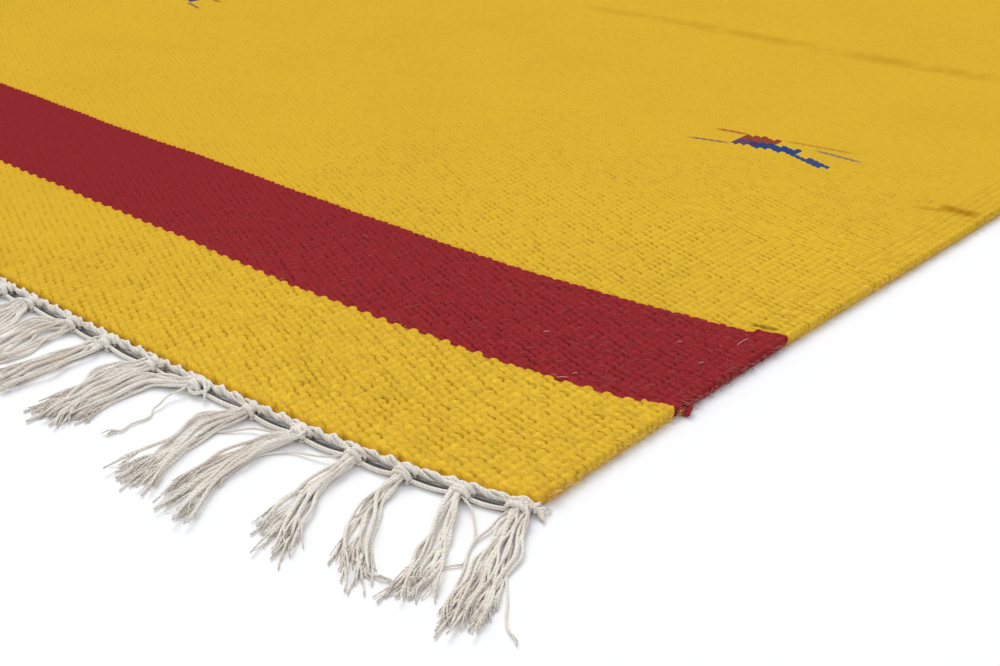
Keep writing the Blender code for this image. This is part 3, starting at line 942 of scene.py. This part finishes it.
# %% Lay out the tassels
TASSELS, FIRST_KNOT = 32, 0.004
CORNER_TASSELS = (
    # gap, threads, then the left and the right edge as places across and out from the knot, in mm
    (4.0, 16, ((-1, 1), (2, 15), (9, 30), (17, 49)), ((4, 1), (10, 12), (18, 25), (27, 42))),
    (14.8, 12, ((-2, 1), (4, 14), (9, 27), (16, 44)), ((1, 1), (10, 13), (18, 25), (24, 38))),
    (16.6, 11, ((-1, 1), (0, 10), (6, 25), (20, 45)), ((1, 1), (5, 12), (15, 24), (32, 39))),
    (15.3, 13, ((-1, 1), (-1, 13), (1, 27), (9, 47)), ((2, 1), (5, 13), (12, 26), (22, 43))),
    (19.2, 14, ((-1, 1), (-7, 9), (-8, 26), (-3, 48)), ((2, 1), (2, 14), (4, 29), (9, 47))),
    (19.2, 15, ((-2, 1), (-9, 10), (-4, 24), (-4, 44)), ((1, 1), (0, 13), (4, 28), (12, 46))),
    (22.4, 12, ((-7, 1), (-17, 5), (-18, 20), (-15, 41)), ((-3, 2), (-11, 9), (-10, 23), (-8, 39))),
    (19.6, 15, ((-4, 1), (-10, 9), (-7, 23), (-7, 42)), ((2, 1), (1, 15), (2, 26), (9, 41))),
    (22.3, 13, ((-4, 1), (-7, 11), (-10, 22), (-9, 38)), ((1, 1), (1, 9), (2, 24), (3, 40))),
    (18.6, 12, ((-3, 0), (-13, 5), (-12, 19), (-9, 38)), ((2, 1), (3, 9), (6, 20), (2, 38))),
    (22.2, 12, ((-4, 1), (-5, 8), (-5, 22), (-3, 40)), ((0, 1), (5, 8), (10, 20), (9, 38))),
    (16.0, 11, ((-3, 1), (-6, 12), (-7, 25), (-5, 41)), ((1, 1), (2, 12), (4, 25), (6, 40))),
)
GAP_JITTER = 0.8
LEAN_RANGE, REACH_RANGE, SPREAD_RANGE = (-1.0, 4.0), (38.0, 45.0), (9.0, 12.0)
NEAR_SEED, FAR_SEED = 11, 29
EDGE_STOPS, PLAIN_THREADS = (0.0, 0.28, 0.6, 1.0), 10
ROOT_HALF_WIDTH = 2.0 * MM


def tassel_rows(seed, corner_rows):
    """The end's tassels from right to left: x of the knot, threads, and both edges, in metres."""
    chance = random.Random(seed)
    rows = []
    from_right = 0.0
    for gap, threads, left, right in corner_rows:
        from_right += gap * MM
        rows.append((CLOTH_WIDTH / 2 - from_right, threads, np.array(left) * MM, np.array(right) * MM))
    last_known = max(len(rows) - 1, 0)
    start = from_right if rows else FIRST_KNOT
    gap = (CLOTH_WIDTH - FIRST_KNOT - start) / (TASSELS - 1 - last_known)
    for number in range(len(rows), TASSELS):
        shift = chance.uniform(-GAP_JITTER, GAP_JITTER) * MM if 0 < number < TASSELS - 1 else 0.0
        x = CLOTH_WIDTH / 2 - start - gap * (number - last_known) + shift
        reach = chance.uniform(*REACH_RANGE) * MM
        lean = reach * end_slope(x) + chance.uniform(*LEAN_RANGE) * MM
        spread = chance.uniform(*SPREAD_RANGE) * MM
        place = np.array(EDGE_STOPS)
        half_width = ROOT_HALF_WIDTH + spread / 2 * place ** 0.7
        edges = [np.stack([lean * place + side * half_width, MM + reach * place], axis=-1)
                 for side in (-1, 1)]
        rows.append((x, PLAIN_THREADS, *edges))
    return rows


print(TASSELS, "tassels at each end,", len(CORNER_TASSELS), "of them from the table")

# %% [markdown]
# ## Knots and the linking thread
# The warps of each tassel are gathered and tied with an overhand knot, and one thread links
# the knots. Knots are the hardest thing to model true, so each is built as it is seen: a
# core with four turns of thread round it, slanting across its front.

# %% Tie the knots
ROOT_OUT, KNOT_OUT = 5.2 * MM, 4.6 * MM
KNOT_DEPTH, KNOT_HEIGHT, KNOT_HALF_WIDTH = 4.6 * MM, 3.9 * MM, 3.1 * MM
WRAP_RADIUS, LINK_RADIUS, THREAD_RADIUS = 0.00055, 0.00062, 0.00050
WRAPS = ((-1.5, 0.7), (-0.4, -0.5), (0.7, 0.9), (1.6, 0.3))
GATHERED = 8
SLIT_SHADE_HEIGHT = 0.5 * MM


def knot_tubes(x, chance):
    """A core and the turns of thread round it."""
    tubes = []
    outs = np.linspace(-0.5, 0.5, 9)
    core = beyond_end(x + 0 * outs, KNOT_OUT + outs * KNOT_DEPTH, KNOT_HEIGHT * 0.44)
    swell = 0.40 * KNOT_HEIGHT * np.sqrt(np.maximum(1 - (1.9 * outs) ** 2 * 0.9, 0.15))
    tubes.append(tube(core, swell, 8))
    for out_of_middle, slant in WRAPS:
        turn = np.linspace(-0.25 * math.pi, 1.25 * math.pi, 16)
        slant = slant * chance.uniform(0.7, 1.4) * MM
        shift = chance.uniform(-0.3, 0.3) * MM
        out = KNOT_OUT + out_of_middle * MM + shift + slant * np.cos(turn)
        width = KNOT_HALF_WIDTH * (1.0 - 0.10 * abs(out_of_middle)) * chance.uniform(0.85, 1.05)
        rise = 0.35 + 0.65 * np.maximum(np.sin(turn), -0.5)
        up = WRAP_RADIUS + (KNOT_HEIGHT - 2 * WRAP_RADIUS) * rise
        route = beyond_end(x + width * np.cos(turn), out, up * chance.uniform(0.88, 1.04))
        tubes.append(tube(route, WRAP_RADIUS * chance.uniform(0.85, 1.25), 8))
    return tubes


def link_tubes(rows, chance):
    """The linking thread between each two knots, slack enough to bow a little."""
    tubes = []
    for (first, *_), (second, *_) in zip(rows, rows[1:]):
        share = np.linspace(-0.02, 1.02, 14)
        across = first + (second - first) * share
        arch = np.sin(math.pi * np.clip(share, 0, 1))
        bow = chance.uniform(0.3, 0.9) * arch
        outs = KNOT_OUT + (0.5 + bow + chance.uniform(0.0, 0.7) * share) * MM
        route = beyond_end(across, outs, (1.4 - 0.55 * arch) * MM)
        tubes.append(tube(route, LINK_RADIUS * chance.uniform(0.9, 1.1), 7))
        # Dark tubes laid in the slit between the cord and the link are painted shade, so it looks dark
        # from above.
        for out in (KNOT_OUT - 0.5 * MM, KNOT_OUT + 0.3 * MM):
            points, faces, counts = tube(beyond_end(across, out, SLIT_SHADE_HEIGHT), SLIT_SHADE_HEIGHT, 6)
            tubes.append((points, faces, counts + (2 * SLIT_SHADE_MARK, 0, 0)))
    return tubes


def gathered_tubes(x, gap_left, chance):
    """The tassel's warps on their slanting way from the cloth's end to the knot."""
    tubes = []
    for number in range(GATHERED):
        start = x - gap_left * (0.72 * number / (GATHERED - 1) - 0.16) + chance.uniform(-0.4, 0.4) * MM
        span = start + (x - start) * np.array([0.0, 0.3, 0.7, 1.0])
        out = PIECE_GAP + (np.array([1.1, 2.3, 3.0, 4.1]) + chance.uniform(-0.3, 0.2)) * MM
        lifts = chance.uniform(-0.5, 0.6), chance.uniform(-0.5, 0.7)
        height = np.array([1.2, 1.5 + lifts[0], 1.7 + lifts[1], 2.2]) * MM
        route = smooth_route(beyond_end(span, out, height), 12)
        tubes.append(tube(route, THREAD_RADIUS * chance.uniform(0.85, 1.1), 6))
    return tubes


# %% [markdown]
# ## Tassels
# Each tassel is the loose ends of the warps below its knot: ten to sixteen threads that
# fall from the knot onto the floor, fan out and fray at their tips. A hair system could
# grow them, but only meshes are kept, and the threads near the camera each need their own
# course. So the threads lie between the two edges of their tassel, crossing as they go, and
# each ends in a few untwisted strands.

# %% Comb out the tassels
THREAD_WAVE = 0.50 * MM
FRAY_RADIUS, FRAY_TIP_RADIUS = 0.36 * MM, 0.16 * MM
FRAY_START = 6
LAYERS = (1.0, 1.0, 1.0, 2.5, 3.8)


def fray_tubes(route, chance, strands, sides, reach=1.0):
    """The untwisted strands that spread from a thread's end."""
    heading = route[-1] - route[-FRAY_START]
    start_height = route[-FRAY_START][2]
    forward = math.atan2(heading[1], heading[0])
    tubes = []
    for _ in range(strands):
        turn = forward + chance.uniform(-0.12, 0.12)
        bend = chance.uniform(-0.40, 0.40)
        length = chance.uniform(6.0, 10.0) * reach * MM
        lift = chance.uniform(0.0, 1.0) * MM
        spot = route[-FRAY_START].copy()
        stops = [spot.copy()]
        for step in range(1, 7):
            share = step / 6
            turned = turn + bend * share
            spot[0] += math.cos(turned) * length / 6
            spot[1] += math.sin(turned) * length / 6
            height = start_height * (1 - share) + FRAY_RADIUS * share + lift * math.sin(math.pi * share)
            stops.append(np.array((spot[0], spot[1], max(height, FRAY_RADIUS))))
        radius = np.linspace(FRAY_RADIUS, FRAY_TIP_RADIUS, 7) * chance.uniform(0.7, 1.2)
        tubes.append(tube(stops, radius, sides))
    return tubes


def thread_tube(stops, radius, chance, steps, sides, reach=1.0):
    """A thread along a smooth route, a little wavy and uneven, and thinner at its tip."""
    route = smooth_route(stops, steps, reach)
    share = np.linspace(0, 1, steps)
    for axis in (0, 1):
        waves, start = chance.uniform(1.5, 4.5), chance.uniform(0, math.tau)
        route[:, axis] += THREAD_WAVE * np.sin(math.tau * waves * share + start) * smooth(share * 4)
    slubs = 1 + 0.10 * np.sin(share * chance.uniform(14, 30)) + 0.06 * np.sin(share * 47)
    thickness = radius * slubs * (1 - 0.45 * smooth((share - 0.86) * 7))
    route[:, 2] = np.maximum(route[:, 2], thickness)
    return route, tube(route, thickness, sides)


def tassel_tubes(row, chance, steps, sides, frays):
    x, threads, left, right = row
    root = beyond_end(np.array(x), ROOT_OUT, 0.0)
    tubes = []
    for number in range(threads):
        share = (number + chance.uniform(0.1, 0.9)) / threads
        drift = chance.uniform(-0.26, 0.26)
        radius = THREAD_RADIUS * chance.uniform(0.72, 1.12)
        rest = radius * chance.choice(LAYERS)
        top = chance.uniform(1.4, 3.2) * MM
        stops = [(root[0] + (share - 0.5) * ROOT_HALF_WIDTH, root[1] + 2.0 * MM, top)]
        for number_down, (drop, wander) in enumerate(((0.15, 0.2), (0.75, 0.7), (1.0, 0.9), (1.0, 1.0))):
            mixed = share + drift * math.sin(1.4 * math.pi * number_down / 3)
            across, out = (1 - mixed) * left[number_down] + mixed * right[number_down]
            across += chance.uniform(-1.2, 1.2) * wander * MM
            out += chance.uniform(-0.6, 0.6) * wander * MM
            stops.append((root[0] + across, root[1] - out, top + (rest - top) * drop))
        route, made = thread_tube(stops, radius, chance, steps, sides, chance.uniform(0.86, 1.0))
        tubes.append(made)
        tubes += fray_tubes(route, chance, frays, 4)
    return tubes


def lone_thread(row, places, radius, chance, steps, sides, frays, reach):
    """One thread by its places across and out from a knot's root, and height, in mm."""
    root = beyond_end(np.array(row[0]), ROOT_OUT, 0.0)
    stops = [(root[0] + across * MM, root[1] - out * MM, height * MM) for across, out, height in places]
    route, made = thread_tube(stops, radius, chance, steps, sides)
    return [made] + fray_tubes(route, chance, frays, 4, reach)


# %% [markdown]
# ## Both fringes
# The far fringe is made just like the near one, with another seed, and then turned half
# round. A mirror would turn the twist of its threads the other way.

# %% Put the fringes together
STRAY_THREADS = (
    # which knot from the right, then a lone thread's places across and out from it, in mm
    (0, ((1, 0), (4, 6), (13, 18), (25, 32), (32, 37))),
    (1, ((1, 1), (8, 4), (14, 10), (19, 18), (18, 23), (16, 29), (14, 33))),
    (2, ((0, 1), (3, 14), (8, 28), (21, 33), (29, 32))),
    (3, ((-1, 0), (-6, 5), (-15, 8), (-20, 14), (-19, 24), (-17, 33))),
    (4, ((0, 1), (-9, 5), (-17, 10), (-22, 19), (-22, 27))),
    (6, ((-1, 2), (-1, 10), (2, 17), (3, 25), (2, 31))),
)
STRAY_HEIGHTS = (2.2, 1.4, 0.5, 0.5, 0.5, 0.5, 0.5)
CORD_END_FORK = (
    ((0.0, -1.5, 2.0), (2.0, -2.4, 2.2), (3.6, -3.4, 1.6), (5.2, -5.6, 0.9)),
    ((0.0, -1.0, 1.6), (2.2, -2.0, 1.8), (4.2, -2.9, 1.3), (6.8, -1.8, 0.6)),
)
WRAPPED_TASSEL = 6
WRAPPED_KNOT = (
    (-5.6, 0.2, 1.2), (-4.4, -2.4, 2.4), (-0.6, -3.4, 3.2), (3.2, -2.2, 3.2),
    (5.2, 0.2, 2.2), (2.6, 1.8, 1.4), (-1.6, 1.2, 1.6), (-4.6, -0.6, 2.4),
    (-2.2, -2.2, 3.4), (2.2, -1.0, 3.5), (6.2, 0.4, 2.4), (8.2, 2.6, 1.0),
)


def fringe_pieces(seed, corner_rows):
    rows = tassel_rows(seed, corner_rows)
    chance = random.Random(seed + 5)
    knots = []
    for number, row in enumerate(rows):
        following = rows[number + 1][0] if number + 1 < TASSELS else row[0] - 4 * MM
        knots += knot_tubes(row[0], chance)
        knots += gathered_tubes(row[0], row[0] - following, chance)
    knots += link_tubes(rows, chance)
    near, rest = [], []
    for number, row in enumerate(rows):
        if number < len(corner_rows):
            near += tassel_tubes(row, chance, 36, 7, 4)
        else:
            rest += tassel_tubes(row, chance, 16, 5, 1)
    if corner_rows:
        # Threads that left their tassel, the heading's loose ends, and a thread round one knot.
        for number, places in STRAY_THREADS:
            stops = [(*place, height) for place, height in zip(places, STRAY_HEIGHTS)]
            near += lone_thread(rows[number], stops, THREAD_RADIUS * 0.62, chance, 40, 6, 2, 0.5)
        for places in CORD_END_FORK:
            knots += lone_thread(rows[0], places, 0.75 * MM, chance, 24, 8, 5, 0.25)
        knots += lone_thread(rows[WRAPPED_TASSEL], WRAPPED_KNOT, THREAD_RADIUS, chance, 90, 7, 3, 0.2)
    return knots, near, rest


near_names = ("near_knots", "near_corner_tassels", "near_tassels")
near_pieces = [add_cotton(name, tubes, "near_fringe")
               for name, tubes in zip(near_names, fringe_pieces(NEAR_SEED, CORNER_TASSELS))]
far_knots, _, far_tassels = fringe_pieces(FAR_SEED, ())
far_pieces = [add_cotton("far_knots", half_round(far_knots), "far_fringe"),
              add_cotton("far_tassels", half_round(far_tassels), "far_fringe")]
